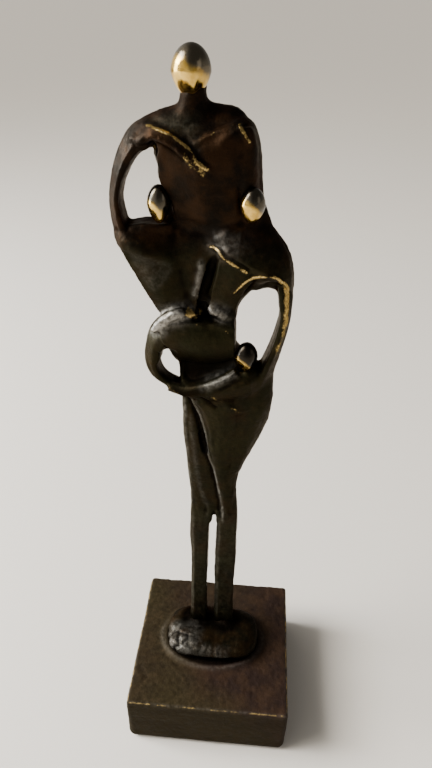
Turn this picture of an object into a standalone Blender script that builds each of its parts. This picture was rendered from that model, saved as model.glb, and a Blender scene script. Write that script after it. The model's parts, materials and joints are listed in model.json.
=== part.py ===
"""Souvenir figurine: an abstract bronze family group standing on a square block.

A tall parent figure holds two children in its arms, and a second pair of arms below
holds a third. The figure is a row of hollow-fronted shells joined by arm bands that
leave three openings, and its two legs run down into a foot mound bolted to the block.

Units are millimetres in the numbers below and metres in the meshes. +X is the viewer's
right, -Y is the front, +Z is up, and left and right in names are the viewer's. The origin
is the centre of the underside.
"""

import math

import bmesh
import bpy
from mathutils import Vector

MM = 0.001

# Driving dimensions
BASE_SIDE = 50.0
BASE_TOP = 19.0
BASE_EDGE = 0.7
FELT_THICKNESS = 0.7
FELT_INSET = 2.5
FELT_GAP = 0.1
BLOCK_BOTTOM = FELT_THICKNESS + FELT_GAP
LIP_HEIGHT = 0.7  # the rim of metal round the mound's seat
JOINT_GAP = 0.15  # clear space left where one casting is fitted to the next

MOUND_CENTRE = (-0.4, 1.6)
MOUND_HALF = (14.6, 10.8)
MOUND_BOTTOM = BASE_TOP + 0.3
MOUND_TOP = 24.4
LEG_FOOT = 22.9  # the legs are drawn down to here, then cut back to the mound's top
LEG_TOP = 73.0

STUD_RADIUS = 2.4
STUD_CLEARANCE = 0.3
STUD_BOTTOM = 1.6
STUD_TOP = 22.4
WASHER_RADIUS = 5.5
WASHER_THICKNESS = 1.0
NUT_RADIUS = 4.6
NUT_HEIGHT = 4.0
COUNTERBORE_RADIUS = 7.0
COUNTERBORE_DEPTH = 8.0
NUT_SEAT = BLOCK_BOTTOM + COUNTERBORE_DEPTH
FIXING_GAP = 0.1

OVERSHOOT = 1.0  # how far a cutter runs past the face it opens
SHARP_ANGLE = math.radians(50)
FULL_TURN = 2 * math.pi


def clear_scene():
    for old in list(bpy.data.objects):
        bpy.data.objects.remove(old, do_unlink=True)


def new_collection(name):
    collection = bpy.data.collections.new(name)
    bpy.context.scene.collection.children.link(collection)
    return collection


def new_material(name, colour, roughness, metallic):
    material = bpy.data.materials.new(name)
    material.use_nodes = True
    shader = material.node_tree.nodes["Principled BSDF"]
    shader.inputs["Base Color"].default_value = (*colour, 1.0)
    shader.inputs["Roughness"].default_value = roughness
    shader.inputs["Metallic"].default_value = metallic
    return material


def add_object(name, mesh, material, collection=None):
    """Link a mesh as one named part and give it its material."""
    obj = bpy.data.objects.new(name, mesh)
    mesh.materials.append(material)
    (collection or PARTS).objects.link(obj)
    return obj


def finish_mesh(bm, name, smooth=True):
    """Write a bmesh in millimetres to a mesh in metres, faces out and edges shaded."""
    bmesh.ops.recalc_face_normals(bm, faces=bm.faces)
    bmesh.ops.scale(bm, vec=(MM, MM, MM), verts=bm.verts)
    mesh = bpy.data.meshes.new(name)
    bm.to_mesh(mesh)
    bm.free()
    if smooth:
        mesh.shade_smooth()
        mesh.set_sharp_from_angle(angle=SHARP_ANGLE)
    return mesh


def spline(points, count, closed):
    """Points on a Catmull-Rom curve through the given points, evenly spread by index."""
    points = [Vector(p) for p in points]
    last = len(points) if closed else len(points) - 1
    samples = []
    for i in range(count if closed else count + 1):
        place = i * last / count
        k = min(int(place), last - 1)
        t = place - k
        if closed:
            a, b, c, d = (points[(k + j) % len(points)] for j in (-1, 0, 1, 2))
        else:
            a, b, c, d = (points[min(max(k + j, 0), len(points) - 1)] for j in (-1, 0, 1, 2))
        samples.append(
            0.5 * (2 * b + (c - a) * t + (2 * a - 5 * b + 4 * c - d) * t**2
                   + (3 * b - a - 3 * c + d) * t**3)
        )
    return samples


def loft(name, material, sections, sides=16, along=2, collection=None):
    """A closed solid through unlike closed sections, smooth both round and along.

    sides is a multiple of the points in a section, so that every point is kept.
    """
    steps = along * (len(sections) - 1)
    rings = [spline(section, sides, closed=True) for section in sections]
    columns = [spline([ring[i] for ring in rings], steps, closed=False) for i in range(sides)]
    bm = bmesh.new()
    verts = [[bm.verts.new(column[j]) for column in columns] for j in range(steps + 1)]
    for lower, upper in zip(verts, verts[1:]):
        for i in range(sides):
            j = (i + 1) % sides
            bm.faces.new((lower[i], lower[j], upper[j], upper[i]))
    for rim in (verts[0], verts[-1]):
        middle = bm.verts.new(sum((vert.co for vert in rim), Vector()) / sides)
        for i in range(sides):
            bm.faces.new((rim[i], rim[(i + 1) % sides], middle))
    bmesh.ops.triangulate(bm, faces=bm.faces)
    return add_object(name, finish_mesh(bm, name), material, collection)


def slab(heights, left, right, front, back):
    """One level section of a standing shell, as eight points.

    heights is one height or three, at the left, the middle and the right. front holds the
    front face's y at the same three places, and back the middle of the rear face, which
    curves forward at both sides.
    """
    if not isinstance(heights, tuple):
        heights = (heights,) * 3
    width = right - left
    across = (left + 0.14 * width, left + 0.5 * width, left + 0.86 * width)
    crown = 1.2
    backs = (back - crown, back, back - crown)
    sides = [0.5 * (front[k] + backs[k]) for k in (0, 2)]
    faces = [(x, y, z) for x, y, z in zip(across, front, heights)]
    rears = [(x, y, z) for x, y, z in zip(across, backs, heights)]
    return [
        (left, sides[0], heights[0]), *faces,
        (right, sides[1], heights[2]), *rears[::-1],
    ]


def band(name, material, stations):
    """An arm: a flat strip that follows a curve in the XZ plane and is deep in Y.

    Each station is (x, z, half width, front y, back y).
    """
    sections = []
    for k, (x, z, half, front, back) in enumerate(stations):
        before, after = stations[max(k - 1, 0)], stations[min(k + 1, len(stations) - 1)]
        run = Vector((after[0] - before[0], after[1] - before[1])).normalized()
        across = (-run.y, run.x)
        middle, deep = 0.5 * (front + back), 0.5 * (back - front)
        ring = []
        for i in range(8):
            turn = FULL_TURN * i / 8
            side = half * math.cos(turn)
            ring.append((x + across[0] * side, middle + deep * math.sin(turn), z + across[1] * side))
        sections.append(ring)
    return loft(name, material, sections)


def egg(name, material, centre, radii, tilt, segments=18):
    """A smooth faceless head: a sphere drawn out downwards to a narrower chin."""
    chin_taper = 0.2
    bm = bmesh.new()
    bmesh.ops.create_uvsphere(bm, u_segments=segments, v_segments=segments * 2 // 3, radius=1.0)
    for vert in bm.verts:
        narrow = 1.0 + chin_taper * min(vert.co.z, 0.0)
        vert.co.x *= narrow * radii[0]
        vert.co.y *= narrow * radii[1]
        vert.co.z *= radii[2]
        x, z = vert.co.x, vert.co.z
        vert.co.x = x * math.cos(tilt) + z * math.sin(tilt)
        vert.co.z = z * math.cos(tilt) - x * math.sin(tilt)
        vert.co += Vector(centre)
    return add_object(name, finish_mesh(bm, name), material)


def cylinder(name, radius, low, high, segments=32, collection=None):
    """A steel pin or washer blank, or a cutter for its hole, on the mound's own axis."""
    bm = bmesh.new()
    bmesh.ops.create_cone(
        bm, cap_ends=True, segments=segments, radius1=radius, radius2=radius, depth=high - low
    )
    bmesh.ops.translate(bm, vec=(*MOUND_CENTRE, 0.5 * (low + high)), verts=bm.verts)
    return add_object(name, finish_mesh(bm, name), STEEL, collection)


def box(name, material, low, high):
    bm = bmesh.new()
    bmesh.ops.create_cube(bm, size=1.0)
    low, high = Vector(low), Vector(high)
    bmesh.ops.scale(bm, vec=high - low, verts=bm.verts)
    bmesh.ops.translate(bm, vec=0.5 * (low + high), verts=bm.verts)
    return add_object(name, finish_mesh(bm, name, smooth=False), material)


def hide_cutter(obj):
    """Mark a cutter, so that it is neither rendered nor counted as a piece."""
    obj.hide_render = True
    obj.display_type = "WIRE"
    return obj


def cut(target, cutter, operation="DIFFERENCE"):
    modifier = target.modifiers.new("cut_" + cutter.name, "BOOLEAN")
    modifier.operation = operation
    modifier.solver = "EXACT"
    modifier.object = cutter


def fit(target, *neighbours):
    """Cut the target back from each neighbour's own shape, grown by the joint gap."""
    for neighbour in neighbours:
        name = "grown_" + neighbour.name
        grown = bpy.data.objects.get(name)
        if grown is None:
            grown = bpy.data.objects.new(name, neighbour.data)
            CUTTERS.objects.link(grown)
            grow = grown.modifiers.new("grow", "DISPLACE")
            grow.direction = "NORMAL"
            grow.mid_level = 0.0
            grow.strength = JOINT_GAP * MM
            hide_cutter(grown)
        cut(target, grown)


def rounded_rectangle(inset, z):
    """Twelve points of a superellipse round the mound's axis, inset from its widest line."""
    half_x, half_y = MOUND_HALF[0] - inset, MOUND_HALF[1] - inset
    corner = 2.8
    ring = []
    for i in range(12):
        turn = FULL_TURN * i / 12
        c, s = math.cos(turn), math.sin(turn)
        x = MOUND_CENTRE[0] + half_x * math.copysign(abs(c) ** (2 / corner), c)
        y = MOUND_CENTRE[1] + half_y * math.copysign(abs(s) ** (2 / corner), s)
        ring.append((x, y, z))
    return ring


def make_heads():
    """Four polished heads: the parent's, two children's above and one child's below."""
    return {
        "parent": egg("parent_head", BRASS, (-8.8, 5.4, 194.9), (4.05, 4.3, 5.4), 0.05, segments=24),
        "left": egg("left_child_head", BRASS, (-15.7, 2.2, 167.9), (2.6, 2.7, 4.4), -0.06),
        "right": egg("right_child_head", BRASS, (5.5, 1.0, 168.8), (2.8, 2.8, 4.1), 0.05),
        "lower": egg("lower_child_head", BRASS, (5.9, 0.6, 130.6), (2.7, 2.7, 4.2), 0.3),
    }


def make_neck():
    """The neck flares down into the shoulders."""
    return loft("parent_neck", BRONZE, [
        slab(186.5, -12.4, -3.4, (2.6, 2.0, 2.6), 9.6),
        slab(188.9, -11.2, -4.9, (3.4, 2.8, 3.4), 8.9),
        slab(191.8, -11.0, -5.6, (3.2, 2.8, 3.2), 8.6),
    ])


def make_yoke():
    """The shoulders: a cape that slopes forward to a V-shaped hem and turns under it."""
    # x, top z, hem y, hem z
    stations = [
        (-22.0, 184.0, 1.5, 181.4),
        (-19.0, 185.8, -0.6, 183.0),
        (-15.0, 187.5, -2.0, 182.8),
        (-11.0, 188.6, -2.9, 181.0),
        (-7.6, 189.0, -3.2, 178.4),
        (-5.0, 188.9, -2.6, 177.2),
        (-2.0, 188.6, -2.2, 181.2),
        (1.2, 188.1, -1.4, 184.2),
        (3.3, 186.5, 0.4, 183.8),
    ]
    sections = []
    for x, top, hem_y, hem_z in stations:
        sections.append([
            (x, 8.6, top - 0.6),
            (x, 5.6, top),
            (x, 0.4 * hem_y + 1.9, 0.45 * hem_z + 0.55 * top - 0.4),
            (x, hem_y, hem_z),
            (x, hem_y + 2.2, hem_z - 1.0),
            (x, 7.0, hem_z - 2.0),
            (x, 10.2, 0.5 * (top + hem_z) - 1.0),
        ])
    return loft("shoulder_yoke", BRONZE, sections, sides=14)


def make_trunk():
    """The parent's chest and back, seen between the arms."""
    return loft("parent_trunk", BRONZE, [
        slab(138.4, -11.6, 1.4, (4.6, 5.0, 4.6), 9.3),
        slab(145.2, -11.0, 1.8, (4.8, 5.6, 4.6), 10.0),
        slab(152.3, -12.2, 2.5, (5.0, 6.0, 4.6), 10.8),
        slab(159.1, -14.0, 4.4, (4.2, 3.6, 3.8), 11.2),
        slab(165.3, -15.0, 5.8, (3.2, 1.2, 2.6), 11.4),
        slab(171.2, -15.3, 6.0, (1.4, -1.0, 1.6), 11.6),
        slab(177.3, -16.8, 5.3, (0.5, -1.6, 1.2), 11.5),
        slab(182.7, -19.0, 4.3, (1.5, 0.5, 2.0), 10.9),
    ])


def make_parent_arms():
    """Both arms come down from the shoulders round the children's backs."""
    left = band("parent_left_arm", BRONZE, [
        (-16.4, 183.5, 3.0, 1.4, 9.6),
        (-19.6, 182.2, 3.1, 0.6, 9.8),
        (-22.5, 179.8, 2.3, 0.6, 9.6),
        (-24.6, 176.0, 1.8, 0.8, 9.2),
        (-25.8, 171.8, 1.65, 1.2, 8.8),
        (-26.2, 167.6, 1.75, 1.4, 8.6),
        (-25.4, 162.4, 2.1, 1.0, 8.6),
        (-23.4, 157.0, 2.4, 1.4, 8.4),
    ])
    right = band("parent_right_arm", BRONZE, [
        (1.4, 186.2, 1.5, 1.6, 9.6),
        (3.8, 183.9, 1.7, 0.4, 9.8),
        (5.1, 179.5, 1.8, 0.2, 9.8),
        (5.5, 173.5, 2.0, 1.0, 9.8),
        (6.0, 167.5, 2.4, 2.2, 9.8),
        (8.0, 162.5, 2.6, 2.4, 9.6),
    ])
    return left, right


def make_left_child():
    """The left child's shoulders, hem and the robe that sweeps in to the waist."""
    return loft("left_child_body", BRONZE, [
        slab(139.4, -16.4, -7.8, (3.0, 2.8, 3.4), 8.4),
        slab(143.6, -18.2, -8.3, (2.0, 2.2, 3.2), 9.0),
        slab(149.0, -20.8, -9.3, (1.2, 1.2, 2.8), 9.6),
        slab((154.0, 153.4, 152.4), -23.6, -10.6, (0.8, 0.6, 2.2), 9.8),
        slab((158.0, 157.0, 155.0), -26.2, -11.4, (-0.6, -1.5, 0.4), 9.8),
        slab((160.8, 160.4, 159.0), -27.0, -11.8, (0.6, -0.2, 1.2), 9.4),
        slab((162.4, 163.2, 163.2), -26.2, -12.6, (2.8, 2.0, 2.4), 8.4),
    ])


def make_right_child():
    """The right child: shoulders over a hem, its robe panel, and its outer arm."""
    shoulders = loft("right_child_shoulders", BRONZE, [
        slab((147.0, 148.0, 146.4), -3.2, 16.4, (2.4, 2.8, 2.6), 9.0),
        slab((151.6, 150.6, 148.8), -3.7, 16.6, (1.0, 1.2, 1.0), 9.6),
        slab((158.2, 155.4, 152.6), -4.0, 16.2, (-1.2, -2.0, -1.2), 10.0),
        slab((159.8, 159.2, 156.8), -3.4, 15.2, (0.2, -0.6, 0.2), 10.2),
        slab((161.2, 161.8, 160.4), -2.2, 12.8, (2.6, 1.6, 2.4), 9.8),
        slab((162.0, 164.2, 163.6), 0.6, 9.8, (3.8, 2.6, 3.6), 9.4),
    ])
    robe = loft("right_child_robe", BRONZE, [
        slab(139.5, -3.6, 3.0, (2.8, 2.6, 3.0), 8.4),
        slab(142.6, -3.8, 3.3, (1.8, 1.6, 2.4), 8.8),
        slab(145.6, -3.8, 4.9, (1.4, 1.0, 1.8), 9.2),
        slab(148.3, -3.6, 7.4, (2.0, 1.8, 2.4), 9.0),
    ])
    arm = band("right_child_arm", BRONZE, [
        (13.2, 150.4, 2.4, 1.4, 8.8),
        (14.5, 147.0, 2.2, 0.0, 8.8),
        (15.0, 142.2, 1.7, -0.4, 8.4),
        (14.5, 137.6, 1.75, -0.4, 8.2),
        (13.4, 132.6, 1.85, -0.4, 8.4),
        (12.0, 127.4, 2.2, -0.4, 8.8),
        (10.6, 122.0, 2.7, 0.4, 8.8),
    ])
    return shoulders, robe, arm


def make_centre_fold():
    """The pleat that hangs down the middle of the parent's robe."""
    return band("centre_fold", BRONZE, [
        (-5.4, 157.0, 0.9, 3.2, 8.0),
        (-6.0, 151.5, 1.2, 2.4, 8.0),
        (-7.2, 146.5, 1.4, 2.2, 8.0),
        (-8.8, 141.6, 1.3, 2.4, 7.6),
    ])


def make_braze_lumps():
    """Rough fillets of metal where the upper group is joined to the lower one."""
    left = egg("left_braze_fillet", BRONZE, (-10.6, 2.6, 140.4), (4.6, 2.8, 2.0), -0.25, segments=14)
    right = egg("right_braze_fillet", BRONZE, (0.0, 2.6, 141.2), (3.2, 2.4, 2.2), 0.1, segments=14)
    return left, right


def make_lower_chest():
    """The lower figure's swelling chest, with a hollow under it and a lap in front."""
    return loft("lower_chest", BRONZE, [
        slab((116.9, 117.2, 118.2), -10.4, 11.0, (0.6, -0.6, 0.6), 8.8),
        slab((119.4, 121.2, 124.4), -11.4, 10.4, (-1.4, -2.4, -1.8), 9.4),
        slab((122.2, 124.0, 127.4), -11.6, 8.8, (0.8, 0.6, 0.2), 9.8),
        slab((125.4, 127.6, 130.4), -12.2, 4.8, (2.9, 2.0, 2.2), 10.0),
        slab((129.2, 131.0, 132.4), -14.4, 3.4, (1.2, -0.4, 0.9), 10.0),
        slab((133.0, 134.0, 134.8), -16.0, 3.2, (0.3, -1.3, 0.1), 9.8),
        slab(137.0, -15.8, 3.1, (0.2, -1.0, 0.2), 9.4),
        slab(139.2, -14.0, 2.9, (0.8, 0.1, 0.8), 8.8),
    ])


def make_lower_arm():
    """The lower figure's own arm, a ring from its shoulder back to its lap."""
    return band("lower_left_arm", BRONZE, [
        (-10.4, 139.0, 1.6, 1.0, 8.4),
        (-14.4, 137.6, 2.2, 0.2, 8.2),
        (-16.9, 134.6, 2.6, 0.0, 7.8),
        (-18.5, 130.4, 2.2, 0.4, 7.4),
        (-18.7, 126.4, 2.1, 0.4, 7.2),
        (-17.5, 122.9, 1.9, 0.7, 7.0),
        (-15.0, 120.6, 1.7, 1.0, 6.8),
        (-12.0, 119.0, 1.7, 1.0, 7.0),
        (-8.8, 117.6, 1.6, 0.8, 7.4),
    ])


def make_robe():
    """The long wrapped skirt: a front panel laid over a narrower one behind it."""
    bottom = LEG_TOP + JOINT_GAP
    under = loft("robe_under_panel", BRONZE, [
        slab(bottom, -8.1, 2.8, (5.4, 5.6, 5.4), 9.6),
        slab(84.0, -8.5, 2.4, (5.0, 5.0, 5.0), 9.6),
        slab(94.0, -9.3, 1.0, (4.2, 4.2, 4.2), 9.4),
        slab(103.0, -10.4, 0.0, (3.4, 3.2, 3.2), 9.0),
        slab(112.0, -10.8, -1.4, (2.8, 2.6, 2.8), 8.6),
        slab(117.4, -11.0, -2.6, (2.6, 2.4, 2.6), 8.4),
    ])
    wrap = loft("robe_front_panel", BRONZE, [
        slab(bottom, 1.4, 5.4, (5.0, 4.6, 5.2), 9.4),
        slab((82.0, 82.0, 81.0), 0.1, 5.1, (3.6, 3.4, 4.6), 9.6),
        slab((90.4, 90.0, 89.0), -1.9, 5.5, (2.6, 2.6, 4.4), 9.8),
        slab((98.6, 98.0, 97.2), -3.9, 8.9, (1.6, 1.6, 3.8), 9.8),
        slab((107.4, 107.0, 106.0), -5.4, 12.1, (0.6, 0.4, 3.0), 9.6),
        slab((113.4, 113.0, 112.6), -7.6, 13.5, (-0.2, -0.6, 1.8), 9.4),
        slab((118.4, 118.4, 119.4), -10.6, 13.7, (0.2, -0.8, 1.2), 9.0),
        slab((120.6, 121.6, 124.8), -9.6, 13.7, (3.4, 3.0, 2.0), 8.4),
    ])
    return under, wrap


def make_legs():
    """Two plain legs, apart from the robe's hem down to the mound, leaning a little forward."""
    left = loft("left_leg", BRONZE, [
        slab(LEG_FOOT, -8.4, -2.9, (3.2, 2.8, 3.2), 7.4),
        slab(32.0, -7.9, -3.1, (3.6, 3.2, 3.6), 7.6),
        slab(52.0, -8.2, -3.6, (4.4, 4.2, 4.4), 8.6),
        slab(66.0, -8.0, -2.8, (5.0, 4.8, 5.0), 9.2),
        slab(LEG_TOP, -8.1, -1.7, (5.4, 5.2, 5.4), 9.6),
    ])
    right = loft("right_leg", BRONZE, [
        slab(LEG_FOOT, 0.5, 6.4, (3.2, 2.8, 3.2), 7.4),
        slab(32.0, 0.5, 6.0, (3.6, 3.2, 3.6), 7.6),
        slab(52.0, 0.3, 5.7, (4.4, 4.2, 4.4), 8.6),
        slab(66.0, 0.5, 5.4, (4.9, 4.5, 4.9), 9.2),
        slab(LEG_TOP, -0.9, 5.3, (5.2, 4.8, 5.2), 9.6),
    ])
    return left, right


def make_foot_mound():
    """The foot: a low rounded lump, undercut all round where it meets the block."""
    mound = loft("foot_mound", BRONZE, [
        rounded_rectangle(1.6, MOUND_BOTTOM),
        rounded_rectangle(0.5, MOUND_BOTTOM + 0.9),
        rounded_rectangle(0.0, MOUND_BOTTOM + 2.3),
        rounded_rectangle(0.8, MOUND_TOP - 0.9),
        rounded_rectangle(3.2, MOUND_TOP),
    ], sides=24)
    socket = cylinder(
        "socket_cutter", STUD_RADIUS + STUD_CLEARANCE, BASE_TOP - OVERSHOOT,
        STUD_TOP + STUD_CLEARANCE, collection=CUTTERS,
    )
    cut(mound, hide_cutter(socket))
    return mound


def make_base(mound):
    """The block, with a low lip of its own metal raised round the mound's seat."""
    half = 0.5 * BASE_SIDE
    block = box("base_block", BASE_BRONZE, (-half, -half, BLOCK_BOTTOM), (half, half, BASE_TOP))
    bevel = block.modifiers.new("worn_edges", "BEVEL")
    bevel.width = BASE_EDGE * MM
    bevel.segments = 2
    lip = loft("seat_lip_cutter", BASE_BRONZE, [
        rounded_rectangle(-2.0, BASE_TOP - 0.5),
        rounded_rectangle(-1.6, BASE_TOP + 0.4 * LIP_HEIGHT),
        rounded_rectangle(-0.8, BASE_TOP + LIP_HEIGHT),
    ], sides=24, collection=CUTTERS)
    cut(block, hide_cutter(lip), "UNION")
    fit(block, mound)
    bore = cylinder(
        "bore_cutter", STUD_RADIUS + STUD_CLEARANCE, -OVERSHOOT, BASE_TOP + OVERSHOOT,
        collection=CUTTERS,
    )
    counterbore = cylinder(
        "counterbore_cutter", COUNTERBORE_RADIUS, -OVERSHOOT, NUT_SEAT, collection=CUTTERS
    )
    for cutter in (bore, counterbore):
        cut(block, hide_cutter(cutter))


def make_felt():
    """The pad the whole piece stands on, set in from the block's edges."""
    pad = 0.5 * BASE_SIDE - FELT_INSET
    box("felt_pad", FELT, (-pad, -pad, 0.0), (pad, pad, FELT_THICKNESS))


def make_fixing():
    """The stud that draws the mound down on the block, with its washer and nut."""
    washer_low = NUT_SEAT - FIXING_GAP - WASHER_THICKNESS
    nut_high = washer_low - FIXING_GAP
    cylinder("mounting_stud", STUD_RADIUS, STUD_BOTTOM, STUD_TOP, segments=24)
    washer = cylinder("stud_washer", WASHER_RADIUS, washer_low, washer_low + WASHER_THICKNESS)
    nut = cylinder("stud_nut", NUT_RADIUS, nut_high - NUT_HEIGHT, nut_high, segments=6)
    bore = cylinder(
        "nut_bore_cutter", STUD_RADIUS + STUD_CLEARANCE, -OVERSHOOT, NUT_SEAT + OVERSHOOT,
        segments=24, collection=CUTTERS,
    )
    hide_cutter(bore)
    cut(washer, bore)
    cut(nut, bore)


def make_figurine():
    """Make every piece, then fit each to the pieces that it meets."""
    heads = make_heads()
    neck = make_neck()
    yoke = make_yoke()
    trunk = make_trunk()
    left_arm, right_arm = make_parent_arms()
    left_child = make_left_child()
    shoulders, child_robe, child_arm = make_right_child()
    fold = make_centre_fold()
    left_fillet, right_fillet = make_braze_lumps()
    chest = make_lower_chest()
    lower_arm = make_lower_arm()
    under, wrap = make_robe()
    left_leg, right_leg = make_legs()
    mound = make_foot_mound()
    make_base(mound)
    make_felt()
    make_fixing()

    fit(neck, heads["parent"], yoke)
    fit(trunk, yoke, left_child, shoulders, child_robe, chest, heads["left"], heads["right"])
    fit(left_arm, yoke, trunk, left_child)
    fit(right_arm, yoke, trunk, shoulders, heads["right"])
    fit(left_child, heads["left"], chest)
    fit(shoulders, heads["right"])
    fit(child_robe, shoulders, chest)
    fit(child_arm, shoulders, wrap, chest)
    fit(fold, trunk, left_child, child_robe, chest, shoulders)
    fit(left_fillet, left_child, fold, chest, trunk)
    fit(right_fillet, child_robe, fold, chest, trunk, left_child)
    fit(chest, heads["lower"], wrap)
    fit(lower_arm, chest, left_child, wrap, left_fillet)
    fit(under, wrap, chest, lower_arm)
    fit(wrap, heads["lower"])
    fit(left_leg, mound)
    fit(right_leg, mound)


clear_scene()
PARTS = new_collection("family_figurine")
CUTTERS = new_collection("cutters")
BRONZE = new_material("dark_bronze", (0.035, 0.028, 0.022), 0.38, 0.9)
BASE_BRONZE = new_material("base_bronze", (0.05, 0.03, 0.025), 0.5, 0.8)
BRASS = new_material("polished_brass", (0.72, 0.52, 0.24), 0.15, 1.0)
STEEL = new_material("zinc_steel", (0.6, 0.6, 0.6), 0.35, 1.0)
FELT = new_material("black_felt", (0.02, 0.02, 0.02), 0.95, 0.0)
make_figurine()
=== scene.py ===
"""Looks for the souvenir figurine: a cast bronze family group on a square block.

The castings are copied from the frame, fused into skins, and then sculpted point by point.
Lengths are in millimetres until a piece is finished, and in metres in the finished meshes.
+X is the viewer's right, -Y the front, +Z up; left and right in names are the viewer's.
"""

import json
import math

import bmesh
import bpy
import numpy as np
from mathutils import Matrix, Vector

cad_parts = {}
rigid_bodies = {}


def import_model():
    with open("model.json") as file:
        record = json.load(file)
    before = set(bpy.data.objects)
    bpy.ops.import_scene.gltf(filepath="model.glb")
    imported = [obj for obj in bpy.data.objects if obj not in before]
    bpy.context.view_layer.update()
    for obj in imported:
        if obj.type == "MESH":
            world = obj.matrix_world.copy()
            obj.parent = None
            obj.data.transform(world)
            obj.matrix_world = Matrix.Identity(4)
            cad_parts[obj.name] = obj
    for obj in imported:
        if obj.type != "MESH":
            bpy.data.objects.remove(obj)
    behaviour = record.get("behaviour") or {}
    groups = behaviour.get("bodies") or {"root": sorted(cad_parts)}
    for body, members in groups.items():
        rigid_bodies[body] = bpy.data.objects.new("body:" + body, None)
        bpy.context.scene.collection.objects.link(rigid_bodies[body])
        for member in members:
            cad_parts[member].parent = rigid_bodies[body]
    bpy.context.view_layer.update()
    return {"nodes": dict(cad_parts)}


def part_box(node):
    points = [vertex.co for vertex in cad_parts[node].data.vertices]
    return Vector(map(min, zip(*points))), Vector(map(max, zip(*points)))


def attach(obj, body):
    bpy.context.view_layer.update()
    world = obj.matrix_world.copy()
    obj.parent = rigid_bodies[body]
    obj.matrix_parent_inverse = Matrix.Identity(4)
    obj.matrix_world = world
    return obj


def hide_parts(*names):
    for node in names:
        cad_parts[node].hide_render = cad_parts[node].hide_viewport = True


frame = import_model()

MM = 0.001
JOINT_CLOSING = 0.2  # growth that closes the joints between the castings, taken off again
FULL_TURN = 2 * math.pi
CELL_PRIMES = (73856093, 19349663, 83492791)  # they mix a noise cell's place into one number
PANEL_COLUMNS = 9  # points across the front of a panel
ROPE_SIDES = 10


def middle_of(node):
    low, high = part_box(node)
    return np.array(0.5 * (low + high)) / MM


def half_size_of(node):
    low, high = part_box(node)
    return np.array(0.5 * (high - low)) / MM


# ----- Arrays of points -----


def add_object(name, data):
    item = bpy.data.objects.new(name, data)
    bpy.context.scene.collection.objects.link(item)
    return item


def make_mesh(name, bm):
    mesh = bpy.data.meshes.new(name)
    bm.to_mesh(mesh)
    bm.free()
    return mesh


def smoothstep(low, high, value):
    """0 below low and 1 above high, with a smooth rise; low may be the larger one."""
    t = np.clip((value - low) / (high - low), 0.0, 1.0)
    return t * t * (3 - 2 * t)


def noise(points, size, seed):
    """Smooth noise from -1 to 1 in lumps of about that size."""
    place = points / size + 0.37 * seed
    cell = np.floor(place).astype(np.int64)
    share = place - cell
    share = share * share * (3 - 2 * share)
    total = np.zeros(len(points))
    for corner in np.ndindex(2, 2, 2):
        at = cell + corner
        x, y, z = (at * CELL_PRIMES).T
        mixed = x ^ y ^ z ^ seed * 2654435
        mixed = (mixed ^ (mixed >> 13)) * 1274126177
        value = ((mixed >> 8) & 0xFFFF) / 32767.5 - 1.0
        weight = np.prod(np.where(corner, share, 1.0 - share), axis=1)
        total += value * weight
    return total


def rough(points, size, seed, layers=3):
    """Noise with finer and weaker layers on it."""
    return sum(0.5**k * noise(points, size * 0.5**k, seed + k) for k in range(layers)) / 1.75


def spline(points, closed=False, pieces=8):
    """Points on a Catmull-Rom curve through the given points."""
    points = np.asarray(points, float)
    n = len(points)
    count = n if closed else n - 1
    curve = []
    for k in range(count):
        if closed:
            a, b, c, d = (points[(k + j) % n] for j in (-1, 0, 1, 2))
        else:
            a, b, c, d = (points[min(max(k + j, 0), n - 1)] for j in (-1, 0, 1, 2))
        for t in np.arange(pieces) / pieces:
            curve.append(0.5 * (2 * b + (c - a) * t + (2 * a - 5 * b + 4 * c - d) * t**2
                                + (3 * b - a - 3 * c + d) * t**3))
    if not closed:
        curve.append(points[-1])
    return np.array(curve)


def shifted(path, dx, dz):
    return [(x + dx, z + dz) for x, z in path]


def measure(points, path):
    """Each point's distance to a path, and its share along it."""
    best = np.full(len(points), 1e9)
    share = np.zeros(len(points))
    for k, (a, b) in enumerate(zip(path[:-1], path[1:])):
        run = b - a
        long = max(run @ run, 1e-9)
        t = np.clip((points - a) @ run / long, 0, 1)
        gap = points - a - t[:, None] * run
        far = np.hypot(*gap.T)
        nearer = far < best
        best[nearer] = far[nearer]
        share[nearer] = (k + t[nearer]) / (len(path) - 1)
    return best, share


def inside(points, outline):
    """Which points lie inside a closed outline."""
    found = np.zeros(len(points), bool)
    for a, b in zip(outline, np.roll(outline, -1, axis=0)):
        crosses = (a[1] > points[:, 1]) != (b[1] > points[:, 1])
        rise = np.where(abs(b[1] - a[1]) < 1e-9, 1e-9, b[1] - a[1])
        found ^= crosses & (points[:, 0] < a[0] + (points[:, 1] - a[1]) / rise * (b[0] - a[0]))
    return found


# ----- Closed forms that are fused into a skin -----


def add_node(bm, name, grow=JOINT_CLOSING):
    """A copy of a CAD node, grown a little so that it meets its neighbours."""
    part = bmesh.new()
    part.from_mesh(frame["nodes"][name].data)
    bmesh.ops.scale(part, vec=(1 / MM,) * 3, verts=part.verts)
    bmesh.ops.remove_doubles(part, verts=part.verts, dist=0.01)
    part.normal_update()
    for vert, normal in [(v, v.normal.copy()) for v in part.verts]:
        vert.co += normal * grow
    mesh = make_mesh("part", part)
    bm.from_mesh(mesh)
    bpy.data.meshes.remove(mesh)


def add_rings(bm, rings):
    """A closed solid through rings of points, all with the same number of points."""
    verts = [[bm.verts.new(point) for point in ring] for ring in rings]
    count = len(rings[0])
    for lower, upper in zip(verts, verts[1:]):
        for i in range(count):
            j = (i + 1) % count
            bm.faces.new((lower[i], lower[j], upper[j], upper[i]))
    for rim in (verts[0], verts[-1]):
        centre = bm.verts.new(sum((v.co for v in rim), Vector()) / count)
        for i in range(count):
            bm.faces.new((rim[i], rim[(i + 1) % count], centre))


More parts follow.
